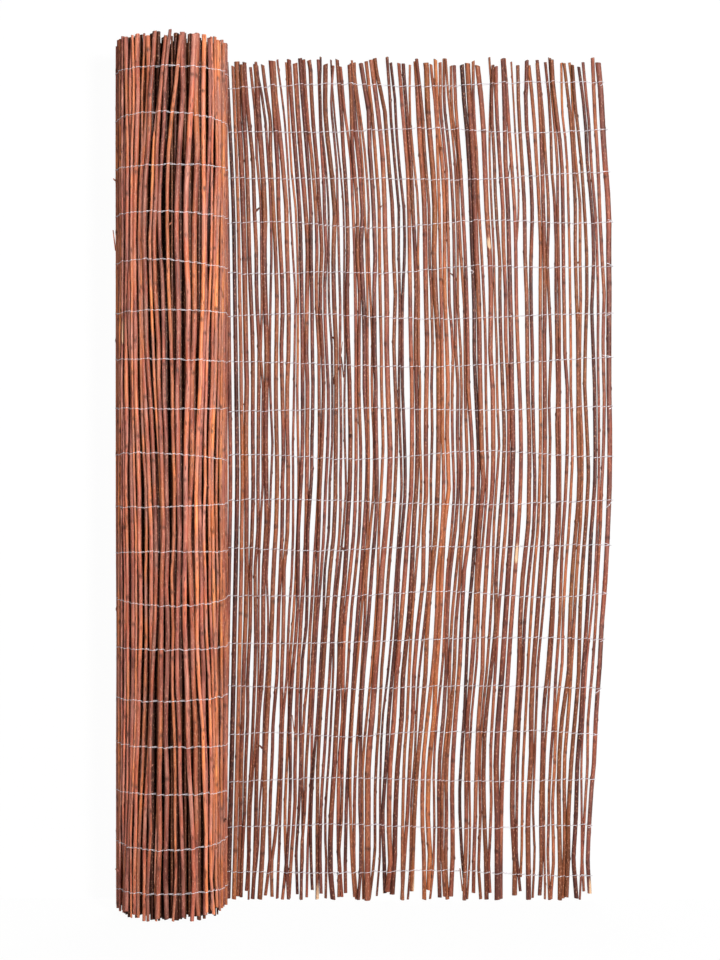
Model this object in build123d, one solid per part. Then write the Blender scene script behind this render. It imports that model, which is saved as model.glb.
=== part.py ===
from build123d import *

import math
import os
import random

# A willow screening mat, standing on its cut ends and partly unrolled.
# Willow rods stand side by side, bound by level rows of wire. Most of the mat is wound into a
# roll, and the rest runs off the back of the roll as a flat panel. Millimetres, Z up the rods,
# X along the panel towards its free end, Y towards the back.

# Size of the mat
MAT_HEIGHT = 1800.0
PANEL_LENGTH = 930.0
PANEL_RODS = 84
ROLL_RADIUS = 125.0
CORE_RADIUS = 32.0

# Rods: the thick end is drawn between these sizes, most often near the common one, and the tip is
# a share of the thick end.
# Cuts stray from the level ends within a share of the ragged lengths; a foot cut too low is level.
ROD_THICKEST = 12.4
ROD_THINNEST = 5.0
ROD_COMMON = 7.0
ROD_TIP_SHARE = 0.72
ROD_THICK_END_UP_SHARE = 0.55
GAP_WISH = (0.4, 1.6)
GAP_CHANGE = (0.55, 1.45)
ROD_SIDES = 8
TOP_RAGGED = 14.0
TOP_CUT = (-1.0, 0.6)
FOOT_RAGGED = 20.0
FOOT_CUT = (-0.5, 1.0)
SEED = 18

# Binding wire
WIRE = 1.0
WIRE_ROWS = 18
WIRE_TO_ROD_END = 58.5
WIRE_ENTRY = 10.0

# Roll: flat facets stand in for the curve, and each facet carries whole rods
FACETS_PER_TURN = 22
ROLL_ROD_GAP = 0.9
ROLL_TOP_RISE = 8.0
TURN_CLEARANCE = 0.6
TURN_SLOT = 2.0
CORNER_MARGIN = 1.4
INNER_TOP_INSET = 6.0

# Panel: heights, as shares of a rod, where the rods bend, and how far the panel leans back there
BEND_LEVELS = (0.0, 0.15, 0.5, 0.83, 1.0)
BEND_SET_BACK = (48.0, 40.0, 0.0, 3.0, 30.0)
SET_BACK_REACH = 320.0
GATHERED_LEVELS = (0.0, 1.0)
GATHERED_GAP_SHARE = 0.12
GATHERED_RODS = (1, 2, 2, 3)

# The forked rod, and a rod that broke off short of the ground
FORK_PLACE = 735.0
FORK_LEVEL = 0.77
FORK_ROOM = 1.7
SHORT_ROD_PLACE = 770.0
SHORT_ROD_FOOT = 48.0

# How the rods are shared out among files
PANEL_RODS_PER_NODE = 4
ROLL_FACETS_PER_NODE = 2

TURN_PITCH = ROD_THICKEST + WIRE + TURN_CLEARANCE
FACET_ANGLE = 360.0 / FACETS_PER_TURN
ROLL_LEVELS = (0.0, 0.5, 1.0)
WIRE_ROW_PITCH = (MAT_HEIGHT - 2 * WIRE_TO_ROD_END) / (WIRE_ROWS - 1)
UP = Vector(0, 0, 1)


class Facet:
    """A flat stretch of the mat's outer face, from one corner of its plan to the next."""

    def __init__(self, start, end, inward):
        self.start = start
        self.length = (end - start).length
        self.along = (end - start).normalized()
        self.inward = inward

    def section(self, place, height, diameter):
        """A rod's section at a place along the facet, with one flat on the outer face."""
        radius = diameter / 2
        centre = self.start + self.along * place + self.inward * radius + UP * height
        plane = Plane(origin=centre, x_dir=self.along, z_dir=UP)
        half_side = 180.0 / ROD_SIDES
        return plane * RegularPolygon(radius, ROD_SIDES, major_radius=False, rotation=half_side)


class Rod:
    """One willow rod: its thick end's size, which end that is, and where it was cut.

    A rod draws its own chances, so it stays as it is when other rods come or go.
    """

    def __init__(self, name):
        self.draw = random.Random(f"{name}, batch {SEED}")
        self.thick = self.draw.triangular(ROD_THINNEST, ROD_THICKEST, ROD_COMMON)
        self.thick_end_up = self.draw.random() < ROD_THICK_END_UP_SHARE
        self.foot = max(0.0, self.draw.uniform(*FOOT_CUT)) * FOOT_RAGGED
        self.top = MAT_HEIGHT + self.draw.uniform(*TOP_CUT) * TOP_RAGGED
        self.gap_wish = self.draw.uniform(*GAP_WISH)

    def gap_weight(self):
        """The rod's wish for room before it, a little different at each bend."""
        return self.gap_wish * self.draw.uniform(*GAP_CHANGE)

    def diameter(self, level):
        towards_tip = 1.0 - level if self.thick_end_up else level
        return self.thick * (1.0 - (1.0 - ROD_TIP_SHARE) * towards_tip)

    def height(self, level):
        """Height of a bend, with the two end levels at the rod's own cuts."""
        return {0.0: self.foot, 1.0: self.top}.get(level, level * MAT_HEIGHT)


def spiral_corner(turns, outset=0.0):
    """Plan corner of the mat's outer face, by turns wound from where the panel leaves the roll."""
    angle = math.radians(90.0 + 360.0 * turns)
    radius = ROLL_RADIUS - TURN_PITCH * turns + outset / math.cos(math.radians(FACET_ANGLE / 2))
    return Vector(radius * math.cos(angle), radius * math.sin(angle))


def roll_facet(index):
    start = spiral_corner(index / FACETS_PER_TURN)
    end = spiral_corner((index + 1) / FACETS_PER_TURN)
    along = (end - start).normalized()
    return Facet(start, end, Vector(-along.Y, along.X))


def fill_with_rods(place, length):
    """New rods for a stretch of the roll, until they and their gaps use up its length."""
    rods, used = [], 0.0
    while True:
        rod = Rod(f"{place} rod {len(rods)}")
        used += rod.thick + ROLL_ROD_GAP
        if used > length:
            return rods
        rods.append(rod)


def places_along(diameters, weights, length):
    """Centres of rods laid side by side, with the spare length shared among gaps by weight."""
    spare = (length - sum(diameters)) / sum(weights)
    centres, edge = [], 0.0
    for diameter, weight in zip(diameters, weights):
        edge += spare * weight
        centres.append(edge + diameter / 2)
        edge += diameter
    return centres


def between(level, levels, values):
    """Straight-line reading of values given at levels, run on past the last level."""
    step = 0
    while step < len(levels) - 2 and level > levels[step + 1]:
        step += 1
    slope = (values[step + 1] - values[step]) / (levels[step + 1] - levels[step])
    return values[step] + slope * (level - levels[step])


def rod_solid(facet, rod, levels, places):
    """A rod lofted through its bends, its ends cut where they come on the line of the bends."""
    sections = []
    for level in levels:
        height = rod.height(level)
        share = height / MAT_HEIGHT
        sections.append(facet.section(between(share, levels, places), height, rod.diameter(share)))
    return loft(sections, ruled=True)


# Flat panel

panel = Facet(Vector(0, ROLL_RADIUS), Vector(PANEL_LENGTH, ROLL_RADIUS), Vector(0, -1))
panel_rods = [Rod(f"panel rod {index}") for index in range(PANEL_RODS)]
rod_share = PANEL_LENGTH / PANEL_RODS
trunk_index = round(FORK_PLACE / rod_share)
branch_index = trunk_index + 1
panel_rods[trunk_index].thick = (ROD_THICKEST + ROD_THINNEST) / 2
panel_rods[trunk_index].thick_end_up = False
panel_rods[branch_index].thick = ROD_THINNEST
panel_rods[branch_index].gap_wish *= FORK_ROOM
panel_rods[branch_index + 1].gap_wish *= FORK_ROOM
panel_rods[round(SHORT_ROD_PLACE / rod_share)].foot = SHORT_ROD_FOOT

# Neighbours lean together in twos and threes beyond the last wire rows
gathered_with_last = []
bunch = 0
for rod in panel_rods:
    bunch -= 1
    gathered_with_last.append(bunch > 0)
    if bunch <= 0:
        bunch = rod.draw.choice(GATHERED_RODS)


def panel_places(level, set_back):
    """Where every rod of the panel crosses one bend level."""
    diameters = [rod.diameter(level) for rod in panel_rods]
    if level < FORK_LEVEL:
        diameters[branch_index] = 0.0
    weights = [rod.gap_weight() for rod in panel_rods]
    if level in GATHERED_LEVELS:
        for index, gathered in enumerate(gathered_with_last):
            if gathered:
                weights[index] *= GATHERED_GAP_SHARE
    near = round(SET_BACK_REACH / rod_share)
    reach = near * rod_share - set_back
    near_places = places_along(diameters[:near], weights[:near], reach)
    far_places = places_along(diameters[near:], weights[near:], PANEL_LENGTH - set_back - reach)
    return near_places + [reach + place for place in far_places]


panel_levels = [panel_places(*bend) for bend in zip(BEND_LEVELS, BEND_SET_BACK)]
panel_paths = list(zip(*panel_levels))


def forked_rod():
    """A rod whose side branch leaves it low in the fork and climbs beside it as a second stem."""
    trunk = rod_solid(panel, panel_rods[trunk_index], BEND_LEVELS, panel_paths[trunk_index])
    branch = panel_rods[branch_index]
    crotch = between(FORK_LEVEL, BEND_LEVELS, panel_paths[trunk_index])
    levels, places = [FORK_LEVEL], [crotch]
    for level, place in zip(BEND_LEVELS, panel_paths[branch_index]):
        if level > FORK_LEVEL:
            levels.append(level)
            places.append(place)
    return trunk + rod_solid(panel, branch, levels, places)


def panel_end(height):
    """How far the last rod's outer side stands from the roll's axis at a height."""
    rod = panel_rods[-1]
    bends = zip(BEND_LEVELS, panel_paths[-1])
    sides = [place + rod.diameter(level) / 2 for level, place in bends]
    return between(height / MAT_HEIGHT, BEND_LEVELS, sides)


# Roll

roll_facets = [roll_facet(index) for index in range(FACETS_PER_TURN)]


def facet_rods(index, facet):
    """The rods of the outer turn that one facet carries, each leaning a little its own way."""
    room = facet.length - 2 * CORNER_MARGIN
    rods = fill_with_rods(f"facet {index}", room)
    for rod in rods:
        rod.top += ROLL_TOP_RISE
    levels = []
    for level in ROLL_LEVELS:
        diameters = [rod.diameter(level) for rod in rods]
        weights = [rod.gap_weight() for rod in rods]
        weights.append(rods[0].gap_weight())
        centres = places_along(diameters, weights, room)
        levels.append([CORNER_MARGIN + place for place in centres])
    return [rod_solid(facet, rod, ROLL_LEVELS, path) for rod, path in zip(rods, zip(*levels))]


def rolled_turns():
    """The inner turns of the mat as one spiral wall with a thin slot between turns."""
    wall = TURN_PITCH - TURN_SLOT
    turns = (ROLL_RADIUS - TURN_PITCH - wall - CORE_RADIUS) / TURN_PITCH
    steps = range(math.floor(turns * FACETS_PER_TURN) + 1)
    outer = [spiral_corner(1 + step / FACETS_PER_TURN) for step in steps]
    inner = [spiral_corner(1 + step / FACETS_PER_TURN, -wall) for step in steps]
    return extrude(make_face(Polyline(*outer, *reversed(inner), close=True)), MAT_HEIGHT + ROLL_TOP_RISE - INNER_TOP_INSET)


# Wire

def wire_row(height):
    """One row: out along the front of the panel, round the end rod, back and once round the roll."""
    end = max(panel_end(height - WIRE / 2), panel_end(height + WIRE / 2))
    back = ROLL_RADIUS
    front = ROLL_RADIUS - ROD_THICKEST
    winding = [index / FACETS_PER_TURN for index in range(FACETS_PER_TURN + 2)]
    inner = [spiral_corner(turns) for turns in reversed(winding)]
    outer = [spiral_corner(turns, WIRE) for turns in winding]
    hairpin = [
        Vector(end, back),
        Vector(end, front),
        Vector(WIRE_ENTRY, front),
        Vector(WIRE_ENTRY, front - WIRE),
        Vector(end + WIRE, front - WIRE),
        Vector(end + WIRE, back + WIRE),
    ]
    outline = Polyline(*inner, *hairpin, Vector(0, back + WIRE), *outer[1:], close=True)
    return Pos(0, 0, height - WIRE / 2) * extrude(make_face(outline), WIRE)


# Nodes

nodes = {"rolled_turns": [rolled_turns()], "forked_rod": [forked_rod()]}
nodes["end_rod"] = [rod_solid(panel, panel_rods[-1], BEND_LEVELS, panel_paths[-1])]

plain = [i for i in range(len(panel_rods) - 1) if i not in (trunk_index, branch_index)]
for count, index in enumerate(plain):
    name = f"panel_rods_{count // PANEL_RODS_PER_NODE + 1:02d}"
    solid = rod_solid(panel, panel_rods[index], BEND_LEVELS, panel_paths[index])
    nodes.setdefault(name, []).append(solid)

for index, facet in enumerate(roll_facets):
    name = f"outer_turn_rods_{index // ROLL_FACETS_PER_NODE + 1:02d}"
    nodes.setdefault(name, []).extend(facet_rods(index, facet))

for row in range(WIRE_ROWS):
    nodes[f"wire_row_{row + 1:02d}"] = [wire_row(WIRE_TO_ROD_END + row * WIRE_ROW_PITCH)]

# The origin is the middle of the footprint, on the ground
box = Compound([solid for solids in nodes.values() for solid in solids]).bounding_box()
to_origin = Pos(-(box.min.X + box.max.X) / 2, -(box.min.Y + box.max.Y) / 2, 0)

os.makedirs("parts", exist_ok=True)
for name, solids in nodes.items():
    export_step(Compound([to_origin * solid for solid in solids]), f"parts/{name}.step")
print(len(nodes), "nodes,", len(panel_rods), "rods in the panel, box", box.size)
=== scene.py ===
# %% [markdown]
# # A willow screening mat, partly unrolled
# Willow rods stand side by side, bound by level rows of twisted wire. Most of the mat is wound into
# a standing roll, and the rest runs off the back of the roll as a flat panel. The CAD frame gives
# each rod its place, lean and thickness. This lesson gives the rods their bark, crooks, buds and
# cut ends, gives the rows their twisted wire, and lights the mat on a plain pale stage.

# %% Load the frame
import math
import random

import bmesh
import bpy
import numpy as np
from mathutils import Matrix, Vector


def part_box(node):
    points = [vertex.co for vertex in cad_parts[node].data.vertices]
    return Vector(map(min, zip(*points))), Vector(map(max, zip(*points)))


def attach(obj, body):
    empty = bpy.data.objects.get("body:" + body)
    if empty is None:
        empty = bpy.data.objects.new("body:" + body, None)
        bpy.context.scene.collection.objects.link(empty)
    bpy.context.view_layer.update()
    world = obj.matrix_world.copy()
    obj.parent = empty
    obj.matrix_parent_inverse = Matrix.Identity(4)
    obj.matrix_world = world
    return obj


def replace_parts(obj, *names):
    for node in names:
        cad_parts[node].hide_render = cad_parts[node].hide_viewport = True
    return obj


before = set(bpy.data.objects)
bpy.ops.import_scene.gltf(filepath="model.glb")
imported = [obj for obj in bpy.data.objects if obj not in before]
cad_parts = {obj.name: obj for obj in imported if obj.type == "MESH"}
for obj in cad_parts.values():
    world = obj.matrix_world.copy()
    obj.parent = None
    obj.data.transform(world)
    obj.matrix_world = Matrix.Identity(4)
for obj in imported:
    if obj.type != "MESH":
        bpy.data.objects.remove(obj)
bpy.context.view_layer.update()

# %% [markdown]
# ## Reading the rods
# A CAD rod is an eight-sided loft through a few level sections. Its corners are merged, parted into
# loose rods, and sorted into rings by height. Each ring then gives a station: where the rod's
# middle is at that height, and its radius. Everything else in the lesson follows these stations.

# %% Stations of the CAD rods
RING_CORNERS = 8
SAME_POINT, SAME_RING = 0.00001, 0.001


def loose_rods(node):
    """The corner points of each separate rod in a CAD node."""
    mesh = bmesh.new()
    mesh.from_mesh(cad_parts[node].data)
    bmesh.ops.remove_doubles(mesh, verts=mesh.verts, dist=SAME_POINT)
    waiting = set(mesh.verts)
    rods = []
    while waiting:
        found = [waiting.pop()]
        for vertex in found:
            for edge in vertex.link_edges:
                other = edge.other_vert(vertex)
                if other in waiting:
                    waiting.remove(other)
                    found.append(other)
        rods.append(np.array([vertex.co for vertex in found]))
    mesh.free()
    return sorted(rods, key=lambda points: tuple(points.mean(0)))


def rings(points):
    """Corner points parted into level rings, lowest first."""
    points = points[np.argsort(points[:, 2])]
    breaks = np.flatnonzero(np.diff(points[:, 2]) > SAME_RING) + 1
    return np.split(points, breaks)


def station(ring):
    """Middle and inner radius of one ring, as x, y, z and radius."""
    middle = ring.mean(0)
    reach = np.hypot(*(ring[:, :2] - middle[:2]).T).max()
    return [*middle, reach * math.cos(math.pi / RING_CORNERS)]


def fork_stations(points):
    """The forked rod's stem and its side branch, which stands to the right above the fork."""
    levels = rings(points)
    fork = next(i for i, ring in enumerate(levels) if len(ring) == 2 * RING_CORNERS)
    stem = [station(ring) for ring in levels[:fork] if len(ring) == RING_CORNERS]
    crotch = next(ring for ring in levels if len(ring) < RING_CORNERS)[0, 2]
    pair = levels[fork][np.argsort(levels[fork][:, 0])]
    tips = sorted((station(ring) for ring in levels[fork + 1:]), key=lambda tip: tip[0])
    above = station(pair[:RING_CORNERS])
    aside = station(pair[RING_CORNERS:])
    share = (crotch - stem[-1][2]) / (above[2] - stem[-1][2])
    joint = [a + share * (b - a) for a, b in zip(stem[-1], above)]
    return stem + [above, tips[0]], [joint[:3] + [aside[3]], aside, tips[1]]


def named(start):
    """The frame's nodes whose names start alike, in order."""
    return sorted(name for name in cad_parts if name.startswith(start))


stations = {}
for node in named("panel_rods") + named("outer_turn_rods") + ["end_rod"]:
    stations[node] = [[station(ring) for ring in rings(points)] for points in loose_rods(node)]
stations["forked_rod"] = list(fork_stations(loose_rods("forked_rod")[0]))
print("rods read", {start: sum(len(stations[n]) for n in stations if n.startswith(start))
                    for start in ("panel", "outer", "forked", "end")})

# %% [markdown]
# ## The roll's measure
# The inner turns are one spiral wall in the CAD model. Its outline gives the roll's axis, the
# distance from turn to turn, and how far in it goes, so that the inner rods can be wound on it.

# %% The roll's axis and turns
SEAM = math.radians(90)  # the side of the roll where the panel leaves it
wall_low, wall_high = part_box("rolled_turns")
wire_low, wire_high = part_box(named("wire_row")[0])
wire_thick = wire_high.z - wire_low.z
back_face = wire_high.y - wire_thick
turn_pitch = back_face - wall_high.y
# The wall's back is one turn in from the mat's outer face, and its front a turn and a half.
axis_y = (back_face + wall_low.y - 1.5 * turn_pitch) / 2
wall_points = np.array([vertex.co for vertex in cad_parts["rolled_turns"].data.vertices])
axis_x = wall_points[wall_points[:, 1].argmax(), 0]
roll_radius = back_face - axis_y
core_radius = np.hypot(wall_points[:, 0] - axis_x, wall_points[:, 1] - axis_y).min()
print("roll axis", round(axis_x, 4), round(axis_y, 4), "radius", round(roll_radius, 4),
      "turn", round(turn_pitch, 4), "core", round(core_radius, 4))

# %% [markdown]
# ## How a rod grows
# A willow rod is never straight: it has a slow bow, and a small crook at each bud. The stations are
# read off on a fine scale of heights and averaged over some 15 cm, which rounds the CAD's bends and
# keeps neighbours apart. Each rod has its own stream of chance, so that one rod's draws never
# change another's.

# %% Rods on a scale of heights
HEIGHTS = np.linspace(-0.01, 1.83, 185)
BEND_SOFTNESS = 15
MAT_HEIGHT = 1.8
BUD_SPACING, BUDLESS_END = (0.05, 0.13), 0.02
KNEE_SPACING, KNEE_SHIFT = 0.099, 0.02
LEAN_KEPT, LEAN_CHANGE = 0.35, 0.8
LOOSE_LENGTH, LOOSENESS = 0.2, 1.5


class WillowRod:
    """One rod's line up the heights, with its own chances for crooks, buds and colour."""

    def __init__(self, name, line):
        line = np.array(line)
        self.chance = random.Random(name)
        self.foot, self.top = line[0, 2], line[-1, 2]
        self.x, self.y, self.radius = (self.softened(line[:, 2], line[:, k]) for k in (0, 1, 3))
        self.buds = []
        height = self.foot + self.chance.uniform(BUDLESS_END, BUD_SPACING[1])
        while height < self.top - BUDLESS_END:
            self.buds.append(height)
            height += self.chance.uniform(*BUD_SPACING)

    @staticmethod
    def softened(levels, values):
        """Values at the heights, run on past both ends, with their corners rounded."""
        slopes = np.diff(values) / np.diff(levels)
        along = np.interp(HEIGHTS, levels, values)
        along += np.minimum(HEIGHTS - levels[0], 0) * slopes[0]
        along += np.maximum(HEIGHTS - levels[-1], 0) * slopes[-1]
        padded = np.pad(along, BEND_SOFTNESS, mode="reflect", reflect_type="odd")
        hump = np.hanning(2 * BEND_SOFTNESS + 3)[1:-1]
        return np.convolve(padded, hump / hump.sum(), mode="valid")

    def crooks(self):
        """A line from about -1 to 1 that bends near the wire rows, most freely at the ends."""
        levels = np.arange(0.0, MAT_HEIGHT + KNEE_SPACING, KNEE_SPACING)
        knees = [level + self.chance.uniform(-KNEE_SHIFT, KNEE_SHIFT) for level in levels]
        lean, leans = 0.0, []
        for knee in knees:
            lean = LEAN_KEPT * lean + self.chance.uniform(-LEAN_CHANGE, LEAN_CHANGE)
            leans.append(lean)
        from_end = np.minimum(HEIGHTS, MAT_HEIGHT - HEIGHTS)
        looser = 1 + LOOSENESS * np.clip(1 - from_end / LOOSE_LENGTH, 0, 1)
        return looser * np.interp(HEIGHTS, knees, leans)

    def at(self, height):
        """Middle and radius at a height."""
        return [float(np.interp(height, HEIGHTS, row)) for row in (self.x, self.y, self.radius)]


rods = {node: [WillowRod(f"{node} {i}", line) for i, line in enumerate(stations[node])]
        for node in stations}
print("buds on the end rod", len(rods["end_rod"][0].buds))

# %% [markdown]
# ## Crooks of the panel's rods
# Each rod gets its own crooks, and a slow wave that neighbours share. Close to the roll the rods
# are held and stay as they are. Where two neighbours would run into each other, every second rod
# passes in front, as rods do in a real mat.

# %% Crook the panel's rods
WANDER = 0.0041
SWAY, SWAY_WAVES = 0.0007, ((0.021, 11, 1), (0.034, -17, 4), (0.06, 7, 2))
HELD_BY_ROLL = 0.03
SORTED_AT = 1.5  # above the fork, where every rod has its own place
PASS_MARGIN = 0.02
BARK_SWELL = 1.12
TOUCH = 0.0003
behind_roll = axis_x + roll_radius
panel_nodes = [node for node in rods if not node.startswith("outer_turn")]
panel_rods = sorted((rod for node in panel_nodes for rod in rods[node]),
                    key=lambda rod: np.interp(SORTED_AT, HEIGHTS, rod.x))


def sway(x):
    """A slow sideways wave that carries neighbours along together."""
    waves = (np.sin(x / length + turn * HEIGHTS + start) for length, turn, start in SWAY_WAVES)
    return SWAY * sum(waves)


def widened(need):
    """A need for room, met 5 cm before it comes and eased off as slowly after it."""
    reach = 5
    padded = np.pad(need, reach, mode="edge")
    most = np.array([padded[i:i + 2 * reach + 1].max() for i in range(len(need))])
    padded = np.pad(most, reach, mode="edge")
    return np.convolve(padded, np.full(2 * reach + 1, 1 / (2 * reach + 1)), mode="valid")


def depth_to_clear(rod, other):
    """How far one rod has to pass in front of another, where both have grown."""
    apart = np.abs(rod.x - other.x)
    touch = rod.radius + other.radius + TOUCH
    both = (HEIGHTS > other.foot - PASS_MARGIN) & (HEIGHTS < other.top + PASS_MARGIN)
    depth = np.sqrt(np.maximum(touch ** 2 - apart ** 2, 0)) - np.abs(other.y - rod.y)
    return np.where(both, depth, 0)


fork = set(rods["forked_rod"])
for rod in panel_rods:
    free = np.clip((rod.x - behind_roll) / HELD_BY_ROLL, 0, 1)
    own = 0.0 if rod in fork else WANDER
    rod.x = rod.x + free * (own * rod.crooks() + sway(rod.x))
    rod.radius = rod.radius * BARK_SWELL
for rod, left, right in zip(panel_rods[1::2], panel_rods[0::2], panel_rods[2::2] + panel_rods[-1:]):
    others = [other for other in (left, right) if other is not rod and not {rod, other} <= fork]
    need = np.max([depth_to_clear(rod, other) for other in others], axis=0)
    rod.y = rod.y - widened(np.maximum(need, 0))
print("stems and branches in the panel", len(panel_rods))

# %% [markdown]
# ## Lean of the roll's rods
# The rods of the outer turn lean round the roll in slow waves, and sweep aside near its top. They
# are worked out by their angle round the axis and their reach from it. Every second rod is pressed
# inward where it would meet the rods beside it. Then the cut ends are evened.

# %% Lean the roll's rods
ROLL_SWAY = 0.0115
ROLL_WANDER = 0.0040
TOP_SWEEP, TOP_SWEPT_FROM, TOP_SWEPT_OVER = 0.016, 1.4, 0.4
SEAM_STIFFNESS = 3
SLACK_USED = 0.7
EVENER = 0.55
ROLL_SWELL = 1.02
PRESS_IN = 0.0045
SIDE_LIFT = 0.012
outer_rods = [rod for node in named("outer_turn_rods") for rod in rods[node]]


def roll_sway(angle):
    """How far the rods of the roll lean round it together, by height and by where they stand."""
    lean = np.sin(2 * angle + 3.1 * HEIGHTS + 0.6) + 0.7 * np.sin(3 * angle - 5.3 * HEIGHTS + 2.0)
    swept = np.clip((HEIGHTS - TOP_SWEPT_FROM) / TOP_SWEPT_OVER, 0, 1) ** 1.3
    in_front = np.clip(-np.sin(angle), 0, 1) ** 2
    return -ROLL_SWAY * lean / 1.7 + TOP_SWEEP * (swept * in_front)


def from_seam(angle):
    """0 where the panel leaves the roll, 1 well away from there on either side."""
    turned = (angle - SEAM) % math.tau
    return np.clip(SEAM_STIFFNESS * np.minimum(turned, math.tau - turned), 0, 1)


def depth_on_roll(rod, other):
    """How far one rod of the roll has to lie further in than another to clear it."""
    apart = rod.reach * np.abs(rod.turned - other.turned)
    touch = rod.radius + other.radius + TOUCH
    return np.sqrt(np.maximum(touch ** 2 - apart ** 2, 0)) - np.abs(rod.reach - other.reach)


for rod in outer_rods:
    rod.radius = rod.radius * ROLL_SWELL
    angle = np.arctan2(rod.y - axis_y, rod.x - axis_x)
    rod.reach = np.hypot(rod.x - axis_x, rod.y - axis_y)
    slack = np.maximum(turn_pitch - wire_thick - 2 * rod.radius, 0)
    rod.reach = rod.reach - SLACK_USED * slack * rod.chance.random()
    angle = angle + from_seam(angle) * (roll_sway(angle) + ROLL_WANDER * rod.crooks()) / rod.reach
    rod.turned = (angle - SEAM) % math.tau
outer_rods.sort(key=lambda rod: rod.turned.mean())
beside = zip(outer_rods[1::2], outer_rods[0::2], outer_rods[2::2] + outer_rods[-1:])
for rod, before, after in beside:
    others = [other for other in (before, after) if other is not rod]
    need = np.max([depth_on_roll(rod, other) for other in others], axis=0)
    rod.reach = rod.reach - np.minimum(widened(np.maximum(need, 0)), PRESS_IN)
even_top = np.mean([rod.top for rod in outer_rods])
even_foot = np.mean([rod.foot for rod in outer_rods])
for rod in outer_rods:
    angle = rod.turned + SEAM
    rod.x, rod.y = axis_x + rod.reach * np.cos(angle), axis_y + rod.reach * np.sin(angle)
    rod.top = even_top + EVENER * (rod.top - even_top)
    rod.foot = even_foot + EVENER * (rod.foot - even_foot)
    rod.foot += SIDE_LIFT * np.cos(angle).mean() ** 2
print("outer rods", len(outer_rods))

# %% [markdown]
# ## Rods of the inner turns
# The turns inside the roll show as dark rods behind the outer ones, darkened both by their own
# shadow and by painted shade on their bark, and as a spiral of cut ends from above. They are wound
# rod by rod along the spiral of the CAD wall, from its outer end to the core.

# %% Wind the inner rods
INNER_GAP, GAP_SPREAD = 0.0022, (0.4, 1.6)
INNER_THICK = (0.005, 0.0122)
INNER_FOOT, INNER_TOP = (0.001, 0.016), (-0.012, 0.01)
INNER_LEAN = 0.0012
INNER_TAPER = (1.0, 0.9, 0.78)
FIRST_TURN = 1.02
winder = random.Random("inner turns")


def wound_line(turns, thick):
    """Stations of a rod on the spiral, a number of turns in from where the panel leaves."""
    angle = SEAM + math.tau * turns
    reach = roll_radius - turn_pitch * turns - thick / 2
    foot = winder.uniform(*INNER_FOOT)
    top = wall_high.z + winder.uniform(*INNER_TOP)
    line = []
    for height, share in zip((foot, (foot + top) / 2, top), INNER_TAPER):
        leant = angle + winder.uniform(-INNER_LEAN, INNER_LEAN) / reach
        middle = (axis_x + reach * math.cos(leant), axis_y + reach * math.sin(leant))
        line.append([*middle, height, thick / 2 * share])
    thick_end_down = winder.random() < 0.5
    return line if thick_end_down else [row[:3] + [line[2 - i][3]] for i, row in enumerate(line)]


inner_rods = []
turns = FIRST_TURN
while roll_radius - turn_pitch * (turns + 1) > core_radius:
    thick = winder.uniform(*INNER_THICK)
    inner_rods.append(WillowRod(f"inner {len(inner_rods)}", wound_line(turns, thick)))
    reach = roll_radius - turn_pitch * turns - thick
    turns += (thick + INNER_GAP * winder.uniform(*GAP_SPREAD)) / (math.tau * reach)
print("inner rods", len(inner_rods), "turns", round(turns, 2))

# %% [markdown]
# ## Short ways to build a material
# A material is a net of nodes. A small class adds a node, feeds its sockets and names the mixes
# that come back again and again, so that a finish below reads like a recipe.

# %% Helpers for materials


def paint(red, green, blue):
    """A colour as seen on screen, 0 to 255, made linear for the shader."""
    parts = [value / 255 for value in (red, green, blue)]
    return (*[p / 12.92 if p <= 0.04045 else ((p + 0.055) / 1.055) ** 2.4 for p in parts], 1.0)


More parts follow.
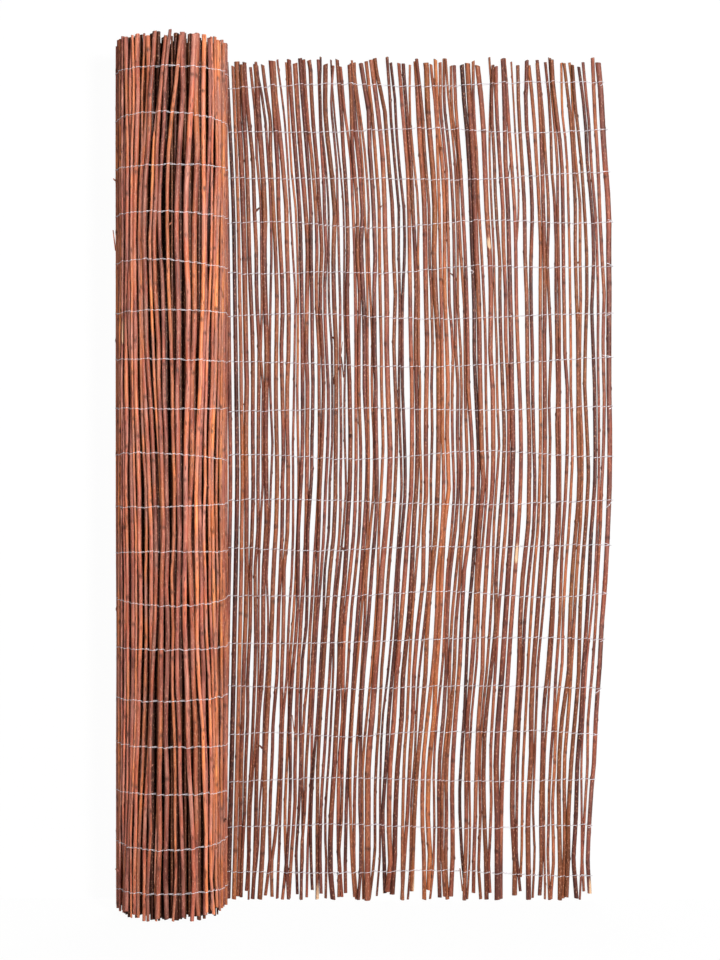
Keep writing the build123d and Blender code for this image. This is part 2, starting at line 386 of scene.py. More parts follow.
class Finish:
    """A material's nodes, with short ways to add, feed and join them."""

    def __init__(self, name):
        self.material = bpy.data.materials.new(name)
        self.material.use_nodes = True
        self.tree = self.material.node_tree
        self.shader = self.tree.nodes["Principled BSDF"]

    def add(self, kind, feeds=(), **settings):
        node = self.tree.nodes.new(kind)
        for name, value in settings.items():
            setattr(node, name, value)
        for socket, value in dict(feeds).items():
            self.feed(node.inputs[socket], value)
        return node

    def feed(self, socket, value):
        if isinstance(value, bpy.types.NodeSocket):
            self.tree.links.new(value, socket)
        else:
            socket.default_value = value

    def attribute(self, name):
        """A vector that the rods carry on their vertices."""
        return self.add("ShaderNodeAttribute", attribute_name=name).outputs["Vector"]

    def parts(self, name):
        """The three numbers of such a vector."""
        return self.add("ShaderNodeSeparateXYZ", {0: self.attribute(name)}).outputs

    def stretched(self, place, scale):
        """A place with its own scale along each axis."""
        return self.add("ShaderNodeMapping", {"Vector": place, "Scale": scale}).outputs[0]

    def noise(self, place, scale, detail=3.0):
        """Clouds, finer along the axes of a place that have the larger scale."""
        feeds = {"Vector": self.stretched(place, scale), "Scale": 1.0, "Detail": detail}
        return self.add("ShaderNodeTexNoise", feeds).outputs["Fac"]

    def ranged(self, value, low, high, to_low, to_high):
        """A value's range stretched onto another, and held at both ends."""
        feeds = {"Value": value, "From Min": low, "From Max": high,
                 "To Min": to_low, "To Max": to_high}
        return self.add("ShaderNodeMapRange", feeds).outputs[0]

    def times(self, first, second):
        return self.add("ShaderNodeMath", {0: first, 1: second}, operation="MULTIPLY").outputs[0]

    def plus(self, first, second):
        return self.add("ShaderNodeMath", {0: first, 1: second}, operation="ADD").outputs[0]

    def specks(self, place, scale, full, gone):
        """Small scattered spots, 1 in the middle of each and 0 between them."""
        feeds = {"Vector": self.stretched(place, scale), "Scale": 1.0}
        cells = self.add("ShaderNodeTexVoronoi", feeds).outputs["Distance"]
        return self.ranged(cells, full, gone, 1.0, 0.0)

    def mixed(self, share, first, second):
        """Two colours mixed by a share."""
        node = self.add("ShaderNodeMix", data_type="RGBA")
        sockets = (node.inputs[0], node.inputs[6], node.inputs[7])
        for socket, value in zip(sockets, (share, first, second)):
            self.feed(socket, value)
        return node.outputs[2]

    def ramp(self, value, stops):
        """Colours at places from 0 to 1."""
        node = self.add("ShaderNodeValToRGB", {"Fac": value})
        for place, colour in stops[1:-1]:
            node.color_ramp.elements.new(place)
        for element, (place, colour) in zip(node.color_ramp.elements, stops):
            element.position, element.color = place, colour
        return node.outputs["Color"]

    def shaded(self, colour, amount):
        """A colour made lighter or darker by an amount."""
        scale = self.add("ShaderNodeVectorMath", {0: colour, 3: amount}, operation="SCALE")
        return scale.outputs[0]

    def wrinkled(self, height):
        """Fine relief on the skin, up to half a millimetre deep."""
        bump = self.add("ShaderNodeBump", {"Height": height, "Strength": 0.5, "Distance": 0.0005})
        self.feed(self.shader.inputs["Normal"], bump.outputs["Normal"])


print("middle grey in linear light", round(paint(128, 128, 128)[0], 3))

# %% [markdown]
# ## Bark
# Osier bark is thin and satiny. Rods of one bundle run from dark chocolate through red brown to
# orange, some under a greyish film. Along a rod the colour drifts, fine streaks run up it, pale
# specks breathe through it, and it is dark at each bud. Three attributes carry what a rod knows
# about itself: *grain* is a place on the rod's own skin in metres, *tone* its colour, shade and
# film, and *marks* its buds, bare patches and the distance from the middle on a cut end.

# %% Bark finish


def bark_finish():
    """Satiny bark with drifting colour, streaks, specks, scars and dark buds."""
    bark = Finish("willow_bark")
    grain = bark.attribute("grain")
    hue, shade, greying = bark.parts("tone")
    bud, bare = bark.parts("marks")[:2]
    drift = bark.noise(grain, (90, 90, 14), 4.0)
    streaks = bark.noise(grain, (950, 950, 24), 3.0)
    patches = bark.noise(grain, (60, 60, 8), 3.0)
    colour = bark.ramp(bark.plus(hue, bark.ranged(patches, 0.3, 0.7, -0.3, 0.3)), [
        (0.0, paint(96, 50, 40)),
        (0.22, paint(124, 70, 60)),
        (0.45, paint(154, 81, 60)),
        (0.7, paint(174, 102, 68)),
        (0.88, paint(188, 106, 64)),
        (1.0, paint(198, 122, 74)),
    ])
    film = bark.times(bark.ranged(drift, 0.44, 0.64, 0.0, 1.0), greying)
    colour = bark.mixed(film, colour, paint(134, 88, 75))
    cloudy = bark.ranged(drift, 0.3, 0.7, 0.7, 1.25)
    streaky = bark.ranged(streaks, 0.3, 0.7, 0.52, 1.38)
    # The shade holds each rod's own tone together with painted light on the roll's rods and painted
    # shade on the panel's and the inner rods.
    colour = bark.shaded(colour, bark.times(bark.times(cloudy, streaky), shade))
    dots = bark.specks(grain, (330, 330, 120), 0.14, 0.3)
    colour = bark.mixed(bark.times(dots, 0.5), colour, paint(214, 160, 130))
    scars = bark.specks(grain, (190, 190, 40), 0.14, 0.26)
    colour = bark.mixed(bark.times(scars, 0.75), colour, paint(70, 36, 32))
    ragged = bark.ranged(streaks, 0.35, 0.65, 0.55, 1.0)
    colour = bark.mixed(bark.times(bud, ragged), colour, paint(58, 32, 27))
    stripped = bark.ranged(bark.times(bare, ragged), 0.3, 0.5, 0.0, 0.9)
    colour = bark.mixed(stripped, colour, paint(214, 176, 140))
    bark.feed(bark.shader.inputs["Base Color"], colour)
    bark.feed(bark.shader.inputs["Roughness"], bark.ranged(drift, 0.3, 0.7, 0.36, 0.52))
    bark.shader.inputs["Specular IOR Level"].default_value = 0.2
    bark.wrinkled(bark.plus(streaks, bark.times(dots, 0.6)))
    return bark.material


def cut_finish():
    """End grain: a dark pith, pale wood gone grey-brown in the weather, and a thin rim of bark."""
    cut = Finish("willow_cut_end")
    hue, rim = cut.parts("tone")[0], cut.parts("marks")[2]
    mottle = cut.noise(cut.attribute("grain"), (500, 500, 500), 3.0)
    weathered = cut.mixed(mottle, paint(120, 84, 62), paint(176, 132, 96))
    colour = cut.mixed(cut.ranged(hue, 0.6, 0.68, 0.0, 0.8), weathered, paint(222, 190, 150))
    colour = cut.mixed(cut.ranged(rim, 0.86, 0.94, 0.0, 1.0), colour, paint(88, 50, 40))
    colour = cut.mixed(cut.ranged(rim, 0.1, 0.24, 0.8, 0.0), colour, paint(74, 46, 34))
    cut.feed(cut.shader.inputs["Base Color"], colour)
    cut.shader.inputs["Roughness"].default_value = 0.8
    cut.wrinkled(mottle)
    return cut.material


bark_material = bark_finish()
cut_material = cut_finish()
print("bark nodes", len(bark_material.node_tree.nodes))

# %% [markdown]
# ## The blank that every rod starts from
# One plain rod is modelled by hand: a cylinder whose ends are inset for the rim of bark and poked
# for the pith, and whose uprights are cut into many rings. Every rod is a copy of this blank with
# its own mesh, bent onto its line, so all rods share one clean layout of faces.

# %% Model the blanks
ROD_SIDES, ROD_RINGS = 12, 84
INNER_SIDES, INNER_RINGS = 8, 9
RIM = 0.13
SMOOTH_UP_TO = math.radians(55)
CARRIED = ("grain", "tone", "marks")


def carry_marks(shape):
    """Room on a shape's vertices for what a rod knows about itself."""
    for name in CARRIED:
        shape.data.attributes.new(name, "FLOAT_VECTOR", "POINT")


def rod_blank(name, sides, ring_count):
    """A rod of radius 1 and height 1, with level rings and finished ends."""
    bpy.ops.object.select_all(action="DESELECT")
    bpy.ops.mesh.primitive_cylinder_add(vertices=sides, radius=1, depth=1, location=(0, 0, 0.5))
    blank = bpy.context.object
    blank.name = name
    bpy.ops.object.transform_apply(location=True, rotation=False, scale=False)
    bpy.ops.object.mode_set(mode="EDIT")
    bpy.ops.mesh.select_all(action="DESELECT")
    mesh = bmesh.from_edit_mesh(blank.data)
    for edge in mesh.edges:
        edge.select_set(abs(edge.verts[0].co.z - edge.verts[1].co.z) > 0.5)
    bpy.ops.mesh.subdivide(number_cuts=ring_count - 2)
    bpy.ops.mesh.select_all(action="DESELECT")
    mesh = bmesh.from_edit_mesh(blank.data)
    for face in mesh.faces:
        face.select_set(abs(face.normal.z) > 0.9)
    bpy.ops.mesh.inset(thickness=RIM)
    bpy.ops.mesh.poke()
    bpy.ops.object.mode_set(mode="OBJECT")
    blank.data.materials.append(bark_material)
    blank.data.materials.append(cut_material)
    for face in blank.data.polygons:
        face.material_index = int(abs(face.normal.z) > 0.9)
    bpy.ops.object.shade_smooth_by_angle(angle=SMOOTH_UP_TO)
    carry_marks(blank)
    return blank


rod_shape = rod_blank("rod_blank", ROD_SIDES, ROD_RINGS)
inner_shape = rod_blank("inner_rod_blank", INNER_SIDES, INNER_RINGS)
print("rod blank faces", len(rod_shape.data.polygons), "inner", len(inner_shape.data.polygons))

# %% [markdown]
# ## Bending copies of the blank
# Each vertex of the blank knows its ring, its angle and how far out it lies. A copy puts the ring
# at its height on the rod's line and the vertex at its angle and radius. Rings crowd at the buds,
# where the rod swells. The end cuts are slanted, as shears leave them.

# %% Bend a blank
BUD_HALF, BUD_NEAR = 0.007, 0.002
BUD_SWELL = 1.09
BUD_TURN, BUD_TURN_SPREAD = 144, 25
EVEN_RINGS = 24
OVAL, LOBED = 0.045, 0.025
END_SLANT = (0.05, 0.5)
GRAIN_OFFSET = 3.0


def ring_heights(rod, count):
    """Heights for the rings: three at each bud, the rest spread evenly, ends included."""
    buds = rod.buds[:max(0, count - EVEN_RINGS) // 3]
    crowded = [bud + side for bud in buds for side in (-BUD_HALF, 0, BUD_HALF)]
    even = np.linspace(rod.foot, rod.top, count - len(crowded))
    return np.sort(np.concatenate([even, crowded])), buds


def corner_places(shape):
    """The places of a shape's vertices, as rows of x, y and z."""
    places = np.empty(len(shape.data.vertices) * 3, np.float32)
    shape.data.vertices.foreach_get("co", places)
    return places.reshape(-1, 3)


def blank_layout(blank):
    """How high each vertex of a blank lies, at what angle, and how far out."""
    x, y, z = corner_places(blank).astype(float).T
    return z, np.arctan2(y, x), np.hypot(x, y)


def moved_copy(shape, place, carried):
    """A copy of a shape with its own mesh, its vertices moved and what they carry written down."""
    piece = shape.copy()
    piece.data = shape.data.copy()
    bpy.context.scene.collection.objects.link(piece)
    for name, values in carried.items():
        piece.data.attributes[name].data.foreach_set("vector", values.astype(np.float32).ravel())
    piece.data.vertices.foreach_set("co", place.astype(np.float32).ravel())
    piece.data.update()
    return piece


def bent_copy(blank, rod, count):
    """A copy of the blank on the rod's line, with what the rod knows written on its vertices."""
    level, angle, out = blank_layout(blank)
    out = np.where(out > 0.95, 1.0, out)
    ring = np.rint(level * (count - 1)).astype(int)
    heights, buds = ring_heights(rod, count)
    height = heights[ring]
    chance = rod.chance
    two, three = [chance.uniform(0, math.tau) for _ in range(2)]
    oval = 1 + OVAL * np.cos(2 * angle + two) + LOBED * np.cos(3 * angle + three + 2 * height)
    radius = np.interp(height, HEIGHTS, rod.radius) * oval
    knot = np.zeros_like(height)
    side = chance.uniform(0, math.tau)
    rod.bud_sides = []
    for bud in buds:
        near = np.abs(height - bud) < BUD_NEAR
        facing = np.cos(angle - side)
        swollen = radius * (1 + (BUD_SWELL - 1) * (0.6 + 0.4 * facing))
        radius = np.where(near, swollen, radius)
        knot = np.where(near, np.maximum(knot, np.clip(1.4 * facing - 0.3, 0, 1)), knot)
        rod.bud_sides.append((bud, side))
        side += math.radians(BUD_TURN + chance.uniform(-BUD_TURN_SPREAD, BUD_TURN_SPREAD))
    x, y = (np.interp(height, HEIGHTS, row) for row in (rod.x, rod.y))
    across, up = out * radius * np.cos(angle), out * radius * np.sin(angle)
    turn, steep = chance.uniform(0, math.tau), chance.uniform(*END_SLANT)
    slant = steep * (across * math.cos(turn) + up * math.sin(turn))
    height = height + np.where(level > 0.999, slant - steep * radius, 0)
    height = height + np.where(level < 0.001, 0.5 * slant + 0.5 * steep * radius, 0)
    bare = bare_patches(rod, height, angle)
    offset = GRAIN_OFFSET * chance.random()
    return moved_copy(blank, np.column_stack([x + across, y + up, height]), {
        "grain": np.column_stack([across, up, height + offset]),
        "tone": np.tile((rod.hue, rod.shade, rod.greying), (len(height), 1)),
        "marks": np.column_stack([knot, bare, out]),
    })


def bare_patches(rod, height, angle):
    """Places where the bark was scraped or split off and pale wood shows."""
    bare = np.zeros_like(height)
    for middle, side, length in rod.scrapes:
        fall = 1 - np.abs(height - middle) / length
        facing = np.clip(2 * np.cos(angle - side) - 0.6, 0, 1)
        bare = np.maximum(bare, np.clip(2 * fall, 0, 1) * facing)
    return bare


print("rings on the end rod", len(ring_heights(rods["end_rod"][0], ROD_RINGS)[0]))

# %% [markdown]
# ## Colours of the rods
# Every rod draws its own place on the bark's scale of colours, its own shade and its own film. Rods
# of the roll are painted lighter than the panel's, as painted light on the roll and painted shade
# on the panel, and those inside the roll are painted dark, a painted shade. The darkest rods, and
# the places where bark was split off, stand where the photo has them.

# %% Colour the rods
MID_HEIGHT = 0.9
HUE_MIDDLE, HUE_SPREAD, HUE_LIMITS = 0.52, 0.18, (0.08, 0.8)
# The roll's range of shades is painted light, the panel's and the inner rods' ranges painted shade;
# the spread within each range is each rod's own tone.
PANEL_PAINTED_SHADE, ROLL_PAINTED_LIGHT, INNER_PAINTED_SHADE = (0.37, 0.86), (1.05, 2.1), (0.13, 0.34)
ROLL_FILM, FILM_SPREAD = 0.55, 0.6
SCRAPED_SHARE, SCRAPE_LENGTH = 0.14, (0.01, 0.03)
DARK_RODS, DARK_HUE, DARK_FILM = (-0.12, -0.081, 0.087), (0.02, 0.12), 0.1
# Where along the panel, how high and how long.
SPLITS = ((0.256, 1.409, 0.018), (0.325, 0.739, 0.013), (-0.083, 1.02, 0.008), (0.441, 0.02, 0.02))


def colour_rod(rod, shades, film):
    """Each rod's colour: mostly red brown, some orange, some dark, some under a film, with painted
    light or painted shade from its group's shades.
    """
    chance = rod.chance
    rod.hue = float(np.clip(chance.gauss(HUE_MIDDLE, HUE_SPREAD), *HUE_LIMITS))
    rod.shade = chance.uniform(*shades)
    rod.greying = film + chance.random() ** 2 * FILM_SPREAD
    rod.scrapes = []
    if chance.random() < SCRAPED_SHARE:
        middle = chance.choice((rod.foot, chance.uniform(rod.foot + 0.05, rod.top - 0.05)))
        rod.scrapes.append((middle, chance.uniform(0, math.tau), chance.uniform(*SCRAPE_LENGTH)))


def panel_rod_at(place, height):
    """The panel rod that stands nearest a place along the panel at a height."""
    reach = [rod for rod in panel_rods if rod.foot < height < rod.top]
    return min(reach, key=lambda rod: abs(rod.at(height)[0] - place))


# The roll's rods get painted light, the panel's rods and the inner rods painted shade.
for group, shades, film in (
        (panel_rods, PANEL_PAINTED_SHADE, 0.0),
        (outer_rods, ROLL_PAINTED_LIGHT, ROLL_FILM),
        (inner_rods, INNER_PAINTED_SHADE, 0.0)):
    for rod in group:
        colour_rod(rod, shades, film)
for place in DARK_RODS:
    rod = panel_rod_at(place, MID_HEIGHT)
    rod.hue, rod.greying = rod.chance.uniform(*DARK_HUE), DARK_FILM
for place, height, length in SPLITS:
    panel_rod_at(place, height).scrapes.append((height, math.radians(-90), length))
hues = [rod.hue for rod in panel_rods]
print("hues from", round(min(hues), 2), "to", round(max(hues), 2))

# %% [markdown]
# ## Buds and spurs
# Small pointed buds sit close against the rod, each two fifths of a turn or so on from the last.
# Here and there a side shoot was sheared off and left a short spur, or was missed and is a thin
# twig. Each is modelled once and copied to its places.

# %% Model a bud and a spur
BUD_SIZE, BUD_TIP = (0.0011, 0.0009, 0.0034), (-0.0004, 0, 0.0016)
SHOOT_SIDES, SHOOT_FLARE = 7, 1.5


def bud_blank():
    """A pointed, flattened bud, its tip drawn up."""
    bpy.ops.object.select_all(action="DESELECT")
    bpy.ops.mesh.primitive_uv_sphere_add(segments=6, ring_count=4, radius=1)
    bud = bpy.context.object
    bud.scale = BUD_SIZE
    bpy.ops.object.transform_apply(location=False, rotation=False, scale=True)
    bpy.ops.object.mode_set(mode="EDIT")
    mesh = bmesh.from_edit_mesh(bud.data)
    for vertex in mesh.verts:
        vertex.select_set(vertex.co.z > 0.9 * BUD_SIZE[2])
    mesh.select_flush(True)
    bpy.ops.transform.translate(value=BUD_TIP)
    bpy.ops.object.mode_set(mode="OBJECT")
    bpy.ops.object.shade_smooth()
    bud.data.materials.append(bark_material)
    carry_marks(bud)
    return bud


def shoot_blank(radius, length, lean):
    """A cut side shoot, leaning up and out, with a flared foot and a cut end."""
    bpy.ops.object.select_all(action="DESELECT")
    bpy.ops.mesh.primitive_cylinder_add(
        vertices=SHOOT_SIDES, radius=radius, depth=length, location=(0, 0, length / 2))
    shoot = bpy.context.object
    bpy.ops.object.transform_apply(location=True, rotation=False, scale=False)
    bpy.ops.object.mode_set(mode="EDIT")
    mesh = bmesh.from_edit_mesh(shoot.data)
    bpy.ops.mesh.select_all(action="DESELECT")
    for vertex in mesh.verts:
        vertex.select_set(vertex.co.z < length / 2)
    mesh.select_flush(True)
    bpy.ops.transform.resize(value=(SHOOT_FLARE, SHOOT_FLARE, 1))
    bpy.ops.mesh.select_all(action="SELECT")
    bpy.ops.transform.rotate(
        value=-math.radians(lean), orient_axis="Y", center_override=(0, 0, 0))
    bpy.ops.object.mode_set(mode="OBJECT")
    shoot.data.materials.append(bark_material)
    shoot.data.materials.append(cut_material)
    top = max(shoot.data.polygons, key=lambda face: face.center.length)
    top.material_index = 1
    bpy.ops.object.shade_smooth_by_angle(angle=math.radians(60))
    carry_marks(shoot)
    return shoot


bud_shape = bud_blank()
spur_shape = shoot_blank(radius=0.0016, length=0.009, lean=48)
twig_shape = shoot_blank(radius=0.0011, length=0.045, lean=7)
print("bud faces", len(bud_shape.data.polygons), "spur faces", len(spur_shape.data.polygons))

# %% [markdown]
# ## What grows on a rod
# A copy of a bud, spur or twig is turned to its side of the rod and moved out to the bark. It takes
# its rod's colour along. A few long twigs are set one by one, where the photo shows them.

# %% Put buds, spurs and twigs on the rods
SPUR_SHARE = 0.018
SPUR_SIZE, BUD_SIZES = (0.6, 1.2), (0.7, 1.2)
SPUR_DARK, BUD_DARK, TWIG_DARK = 0.2, 0.55, 0.1
REDDER, WITHIN_RIM = 0.8, 0.6
# Where along the panel, how high, to which side in degrees, and how large.
TWIGS = (
    (-0.076, 1.105, -20, 0.9),
    (-0.045, 1.12, 200, 1.0),
    (-0.06, 1.17, -25, 0.6),
    (0.205, 0.02, 200, 1.1),
    (0.06, 0.5, -10, 0.7),
    (-0.15, 0.36, 190, 0.8),
    (0.3, 1.55, -20, 0.8),
    (-0.22, 1.48, 195, 0.7),
)
ROLL_TWIG = (1.375, 180, 0.95)


def on_rod(shape, rod, height, side, size, knot):
    """A copy of a bud, spur or twig, set on the rod's skin at a height and a side."""
    x, y, radius = rod.at(height)
    corners = corner_places(shape) * size
    out, across = corners[:, 0] + radius, corners[:, 1]
    place = np.column_stack([
        x + out * math.cos(side) - across * math.sin(side),
        y + out * math.sin(side) + across * math.cos(side),
        height + corners[:, 2],
    ])
    return moved_copy(shape, place, {
        "grain": place + GRAIN_OFFSET,
        "tone": np.tile((rod.hue * REDDER, rod.shade, rod.greying), (len(place), 1)),
        "marks": np.tile((knot, 0.0, WITHIN_RIM), (len(place), 1)),
    })


def dressed_rod(rod):
    """A bent rod with the buds and spurs that grow on it."""
    pieces = [bent_copy(rod_shape, rod, ROD_RINGS)]
    for bud, side in rod.bud_sides:
        if rod.chance.random() < SPUR_SHARE:
            size = rod.chance.uniform(*SPUR_SIZE)
            pieces.append(on_rod(spur_shape, rod, bud, side, size, SPUR_DARK))
        else:
            size = rod.chance.uniform(*BUD_SIZES)
            pieces.append(on_rod(bud_shape, rod, bud, side, size, BUD_DARK))
    for height, side, size in rod.twigs:
        pieces.append(on_rod(twig_shape, rod, height, math.radians(side), size, TWIG_DARK))
    return pieces


for rod in panel_rods + outer_rods:
    rod.twigs = []
for place, height, side, size in TWIGS:
    panel_rod_at(place, height).twigs.append((height, side, size))
min(outer_rods, key=lambda rod: rod.x.mean()).twigs.append(ROLL_TWIG)
print("side twigs", sum(len(rod.twigs) for rod in panel_rods + outer_rods))

# %% [markdown]
# ## From copies to pieces
# The rods that share a CAD node are joined into one piece that replaces it, so that the finished
# model keeps the part's own division.

# %% Dress every node


def joined(pieces, name):
    """Pieces joined into one that rides with the mat."""
    bpy.ops.object.select_all(action="DESELECT")
    for piece in pieces:
        piece.select_set(True)
    bpy.context.view_layer.objects.active = pieces[0]
    bpy.ops.object.join()
    whole = bpy.context.object
    whole.name = whole.data.name = name
    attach(whole, "root")
    return whole


for node in sorted(rods):
    copies = [piece for rod in rods[node] for piece in dressed_rod(rod)]
    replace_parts(joined(copies, f"{node}_bark"), node)
# The inner rods' bark carries painted shade, far darker than the outer rods.
inner = [bent_copy(inner_shape, rod, INNER_RINGS) for rod in inner_rods]
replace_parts(joined(inner, "rolled_turns_bark"), "rolled_turns")
for shape in (rod_shape, inner_shape, bud_shape, spur_shape, twig_shape):
    bpy.data.objects.remove(shape)

# %% [markdown]
# ## Twisted wire
# Each row is two thin galvanised wires. One passes in front of a rod and one behind it, and between
# rods they twist half round each other, so that they change sides at every rod. At the free end the
# pair is bent round the last rod and an end is left as a short tail. This step finds where a row
# meets each rod, and lays the points of its wires by that rule.

# %% The order in which a row meets the rods
WIRE_RADIUS = 0.00056
HUG = (-62, -24, 24, 62)
TWIST = 0.001
ROW_WAVE, LONG_WAVES = 0.0045, (0.04, 0.2)
ROW_STEP, SHORT_WAVES = 0.0008, (0.005, 0.011)
ROW_RISE = 0.013
ROD_END_FREE = 0.01


def around_roll(rod):
    """How far round the roll a rod of the outer turn stands, from where the panel leaves."""
    angle = math.atan2(rod.y.mean() - axis_y, rod.x.mean() - axis_x)
    return (angle - SEAM) % math.tau


row_order = [(rod, None) for rod in reversed(panel_rods)]
row_order += [(rod, around_roll(rod)) for rod in sorted(outer_rods, key=around_roll)]


def crossing(rod, turned, height):
    """Where a row meets a rod: its middle, radius, the way onward and the way out of the mat."""
    x, y, radius = rod.at(height)
    if turned is None:
        return np.array((x, y)), radius, np.array((-1.0, 0.0)), np.array((0.0, 1.0))
    angle = turned + SEAM
    onward = np.array((-math.sin(angle), math.cos(angle)))
    return np.array((x, y)), radius, onward, np.array((math.cos(angle), math.sin(angle)))


panel_length = panel_rods[-1].x.max() - panel_rods[0].x.min()


def row_wave(row, way):
    """How far a row strays from its level, by the way run along the mat."""
    chance = random.Random(f"row {row}")
    waves = [(chance.uniform(*LONG_WAVES), chance.uniform(0, math.tau)) for _ in range(3)]
    rise = ROW_RISE * row / len(named("wire_row")) * max(0.0, 1 - way / panel_length)
    steps = [(chance.uniform(*SHORT_WAVES), chance.uniform(0, math.tau)) for _ in range(2)]
    wave = ROW_WAVE * sum(math.sin(way / length + start) for length, start in waves) / 1.5
    return rise + wave + ROW_STEP * sum(math.sin(way / length + start) for length, start in steps)


def strand_points(row, height, first_side):
    """One wire of a row, from the free end to inside the roll."""
    points, side, way, last = [], first_side, 0.0, None
    for rod, turned in row_order:
        if not rod.foot + ROD_END_FREE < height < rod.top - ROD_END_FREE:
            continue
        middle = np.array(rod.at(height)[:2])
        way += 0.0 if last is None else float(np.hypot(*(middle - last)))
        last = middle
        level = height + row_wave(row, way)
        middle, radius, onward, out = crossing(rod, turned, level)
        reach = radius + WIRE_RADIUS
        for degrees in HUG:
            hug = math.radians(degrees)
            place = middle + reach * (math.sin(hug) * onward + side * math.cos(hug) * out)
            points.append((*place, level + side * TWIST * math.sin(hug)))
        side = -side
    return points


print("rods in a row", len(row_order), "panel length", round(panel_length, 3))

# %% [markdown]
# ## Galvanised wire
# Zinc is a bright grey with a fine spangle, duller where it has begun to tarnish.

# %% Galvanised wire finish


def wire_finish():
    """Spangled zinc with a little tarnish."""
    zinc = Finish("galvanised_wire")
    place = zinc.add("ShaderNodeTexCoord").outputs["Object"]
    spangle = zinc.noise(place, (420, 420, 420), 3.0)
    tarnish = zinc.noise(place, (40, 40, 25), 3.0)
    colour = zinc.mixed(spangle, paint(206, 201, 207), paint(236, 232, 238))
    colour = zinc.mixed(zinc.ranged(tarnish, 0.55, 0.75, 0.0, 0.4), colour, paint(165, 157, 157))
    zinc.feed(zinc.shader.inputs["Base Color"], colour)
    zinc.shader.inputs["Metallic"].default_value = 0.25
    zinc.feed(zinc.shader.inputs["Roughness"], zinc.ranged(spangle, 0.3, 0.7, 0.32, 0.5))
    return zinc.material


wire_material = wire_finish()
print("wire nodes", len(wire_material.node_tree.nodes))

# %% [markdown]
# ## Laying the rows
# A curve with a round bevel is the natural tool for wire. Each row's points are laid in a curve,
# and its tube is then made a mesh. Two rows have a spare end curled up in front of the rods.

# %% Lay the rows
TAIL_REACH, TAIL_DROP = (0.009, 0.024), (-0.008, 0.018)
CURL_TURN, CURL_POINTS, CURL_TIGHTENS, CURL_RISE = 7.5, 22, 14, 0.0003


def wire_piece(name, runs):
    """Wires laid along runs of points, as one mesh."""
    curve = bpy.data.curves.new(name, "CURVE")
    curve.dimensions = "3D"
    curve.bevel_depth = WIRE_RADIUS
    curve.bevel_resolution = 1
    curve.use_fill_caps = True
    for points in runs:
        spline = curve.splines.new("POLY")
        spline.points.add(len(points) - 1)
        spline.points.foreach_set("co", [c for point in points for c in (*point, 1.0)])
    wire = bpy.data.objects.new(name, curve)
    bpy.context.scene.collection.objects.link(wire)
    bpy.ops.object.select_all(action="DESELECT")
    wire.select_set(True)
    bpy.context.view_layer.objects.active = wire
    bpy.ops.object.convert(target="MESH")
    bpy.ops.object.shade_smooth()
    wire.data.materials.clear()
    wire.data.materials.append(wire_material)
    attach(wire, "root")
    return wire


def hairpin(front, back):
    """The bend round the last rod that joins a row's two wires."""
    start, end = np.array(front[0]), np.array(back[0])
    middle, half = (start + end) / 2, (end - start) / 2
    bulge = np.array((np.hypot(*half[:2]) * 0.75, 0, 0))
    bends = np.radians((0, 45, 90, 135, 180))
    return [middle - half * math.cos(a) + bulge * math.sin(a) for a in bends]


def tail(row, start):
    """A short end of wire left at the edge, bent back over the front of the last rods."""
    chance = random.Random(f"tail {row}")
    reach, drop = chance.uniform(*TAIL_REACH), chance.uniform(*TAIL_DROP)
    last_rods = [rod.at(start[2]) for rod in panel_rods[-3:]]
    forward = start[1] + 3 * WIRE_RADIUS - min(y - radius for x, y, radius in last_rods)
    shape = (
        (0, 0, 0), (0.07, -0.5, 0.02), (-0.15, -1.0, 0.2), (-0.6, -1.05, 0.75), (-1.0, -1.1, 1.0))
    return [np.array(start) + np.array((reach * a, forward * b, -drop * c)) for a, b, c in shape]


def curl(place, level, radius):
    """A spare end of wire, curled up in front of the rods."""
    x, y, thick = panel_rod_at(place, level).at(level)
    front = y - thick - 3 * WIRE_RADIUS
    points = []
    for turn in np.linspace(0, CURL_TURN, CURL_POINTS):
        coil = radius * (1 - turn / CURL_TIGHTENS)
        across, up = coil * (math.cos(turn) - 1), coil * math.sin(turn)
        points.append((x + across, front - CURL_RISE * turn, level + up))
    return points


# By row: where along the panel, and how wide.
CURLS = {0: (-0.064, 0.006), 13: (0.224, 0.004)}
for row, node in enumerate(named("wire_row")):
    low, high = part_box(node)
    level = (low.z + high.z) / 2
    front, back = strand_points(row, level, -1), strand_points(row, level, 1)
    bend = hairpin(front, back)
    runs = [front[::-1] + bend[1:-1] + back, tail(row, bend[2])]
    if row in CURLS:
        place, radius = CURLS[row]
        runs.append(curl(place, level, radius))
    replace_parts(wire_piece(f"{node}_twisted", runs), node)

# %% [markdown]
# ## Stage
# The mat stands on a white floor with a white sheet close behind the panel. Both keep a trace of
# the mat's shadow. The sheet is seen only from the front and bounces no light, so that the mat's
# back can be looked at too.

# %% Floor and backdrop
FLOOR_SIZE, FLOOR_OWN_WHITE = 24, 0.97
BACKDROP_SIZE, BACKDROP_OWN_WHITE = 8, 0.965
BACKDROP_GAP = 0.006


def stage_finish(name, own_white):
    """White that keeps the object's shadow: part lit surface, part plain white to the camera."""
    white = Finish(name)
    white.shader.inputs["Base Color"].default_value = (0.86, 0.86, 0.86, 1.0)
    white.shader.inputs["Roughness"].default_value = 0.9
    path = white.add("ShaderNodeLightPath").outputs
    glow = white.add("ShaderNodeEmission", {"Color": (1, 1, 1, 1), "Strength": 1.0})
    share = white.times(path["Is Camera Ray"], own_white)
    mix = white.add("ShaderNodeMixShader",
                    {0: share, 1: white.shader.outputs[0], 2: glow.outputs[0]})
    white.tree.links.new(mix.outputs[0], white.tree.nodes["Material Output"].inputs["Surface"])
    return white


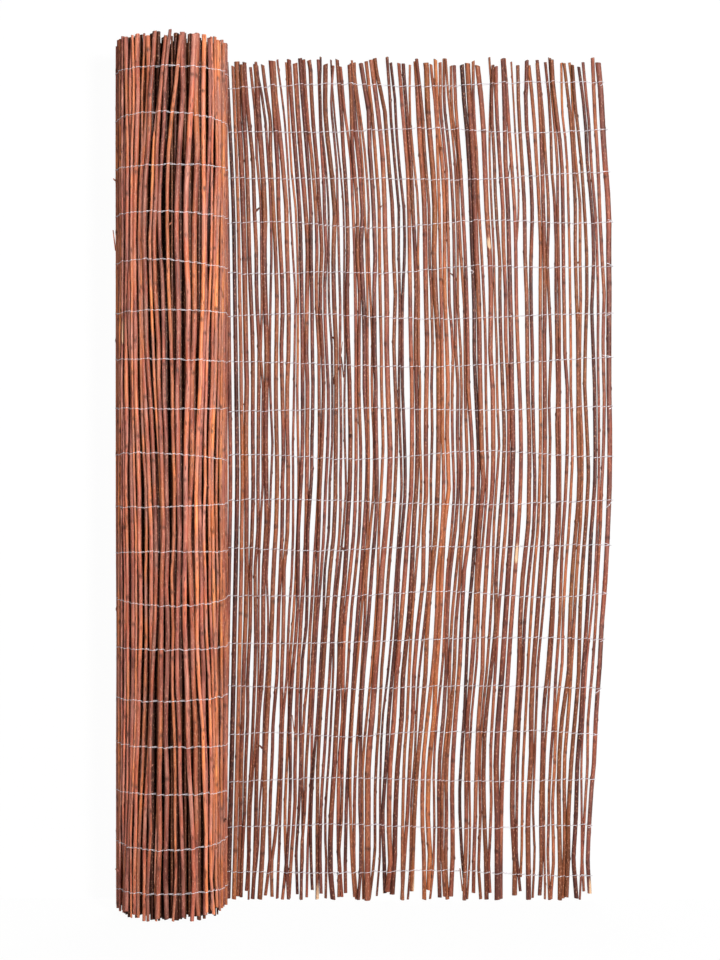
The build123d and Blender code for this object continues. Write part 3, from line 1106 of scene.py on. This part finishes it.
def one_sided(white):
    """Lets the view through from behind."""
    surface = white.tree.nodes["Material Output"].inputs["Surface"]
    front = surface.links[0].from_socket
    behind = white.add("ShaderNodeNewGeometry").outputs["Backfacing"]
    clear = white.add("ShaderNodeBsdfTransparent").outputs[0]
    mix = white.add("ShaderNodeMixShader", {0: behind, 1: front, 2: clear})
    white.tree.links.new(mix.outputs[0], surface)
    return white


bpy.ops.object.select_all(action="DESELECT")
bpy.ops.mesh.primitive_plane_add(size=FLOOR_SIZE, location=(0, 0, 0))
floor = bpy.context.object
floor.name = "floor"
floor.data.materials.append(stage_finish("floor_white", FLOOR_OWN_WHITE).material)

bpy.ops.mesh.primitive_plane_add(
    size=BACKDROP_SIZE,
    location=(0, back_face + BACKDROP_GAP, BACKDROP_SIZE / 2),
    rotation=(math.radians(90), 0, 0))
backdrop = bpy.context.object
backdrop.name = "backdrop"
backdrop_white = one_sided(stage_finish("backdrop_white", BACKDROP_OWN_WHITE))
backdrop.data.materials.append(backdrop_white.material)
for ray in ("diffuse", "glossy", "transmission", "shadow"):
    setattr(backdrop, f"visible_{ray}", False)
print("backdrop at y", round(backdrop.location.y, 3))

# %% [markdown]
# ## Lamps and sky
# One small lamp in front, a little to the right, does most of the work and keeps the gaps of the
# roll dark, along with the painted shade on the inner rods. Weak lamps at both sides and a broad
# one behind fill in. The sky is plain white to the camera, and lights the mat only faintly.

# %% Hang the lamps
LAMPS = (
    ("front_softbox", (1.4, -4.0, 1.8), 0.6, 236),
    ("right_softbox", (3.0, -2.6, 1.9), 1.2, 16),
    ("left_softbox", (-3.0, -2.6, 1.6), 1.2, 16),
    ("back_softbox", (0.5, 3.2, 2.9), 2.6, 150),
)
SKY_FILL = 0.05


def lamp(name, place, size, power, aim):
    """A square lamp at a place, turned towards its aim."""
    light = bpy.data.lights.new(name, "AREA")
    light.size, light.energy = size, power
    holder = bpy.data.objects.new(name, light)
    holder.location = place
    holder.rotation_euler = (Vector(aim) - Vector(place)).to_track_quat("-Z", "Y").to_euler()
    bpy.context.scene.collection.objects.link(holder)


for name, place, size, power in LAMPS:
    lamp(name, place, size, power, (0, 0, MID_HEIGHT))

world = bpy.data.worlds.new("white_sky")
bpy.context.scene.world = world
world.use_nodes = True
sky = world.node_tree
background = sky.nodes["Background"]
background.inputs["Color"].default_value = (1, 1, 1, 1)
path = sky.nodes.new("ShaderNodeLightPath").outputs
level = sky.nodes.new("ShaderNodeMapRange")
level.inputs["To Min"].default_value = SKY_FILL
sky.links.new(path["Is Camera Ray"], level.inputs["Value"])
sky.links.new(level.outputs[0], background.inputs["Strength"])
bpy.context.scene.view_settings.view_transform = "Standard"
print("lamps", [name for name, place, size, power in LAMPS])

# %% [markdown]
# ## Camera
# The camera looks level at the panel, from the distance at which the roll and the panel have the
# sizes they have in the photo. It stands to the right of the roll, so that the roll is at the
# picture's left.

# %% Set the camera
PHOTO_SIZE = (720, 960)
VIEW_DISTANCE = 4.07
FOCAL_PIXELS = 1895
ROLL_LEFT_OF_VIEW = 0.388
EYE_HEIGHT = 0.9
SENSOR_WIDTH = 36.0

camera = bpy.data.objects.new("camera", bpy.data.cameras.new("camera"))
camera.data.sensor_width = SENSOR_WIDTH
camera.data.lens = FOCAL_PIXELS / max(PHOTO_SIZE) * SENSOR_WIDTH
camera.location = (axis_x + ROLL_LEFT_OF_VIEW, back_face - VIEW_DISTANCE, EYE_HEIGHT)
camera.rotation_euler = (math.radians(90), 0, 0)
bpy.context.scene.collection.objects.link(camera)
bpy.context.scene.camera = camera
print("lens", round(camera.data.lens, 2))
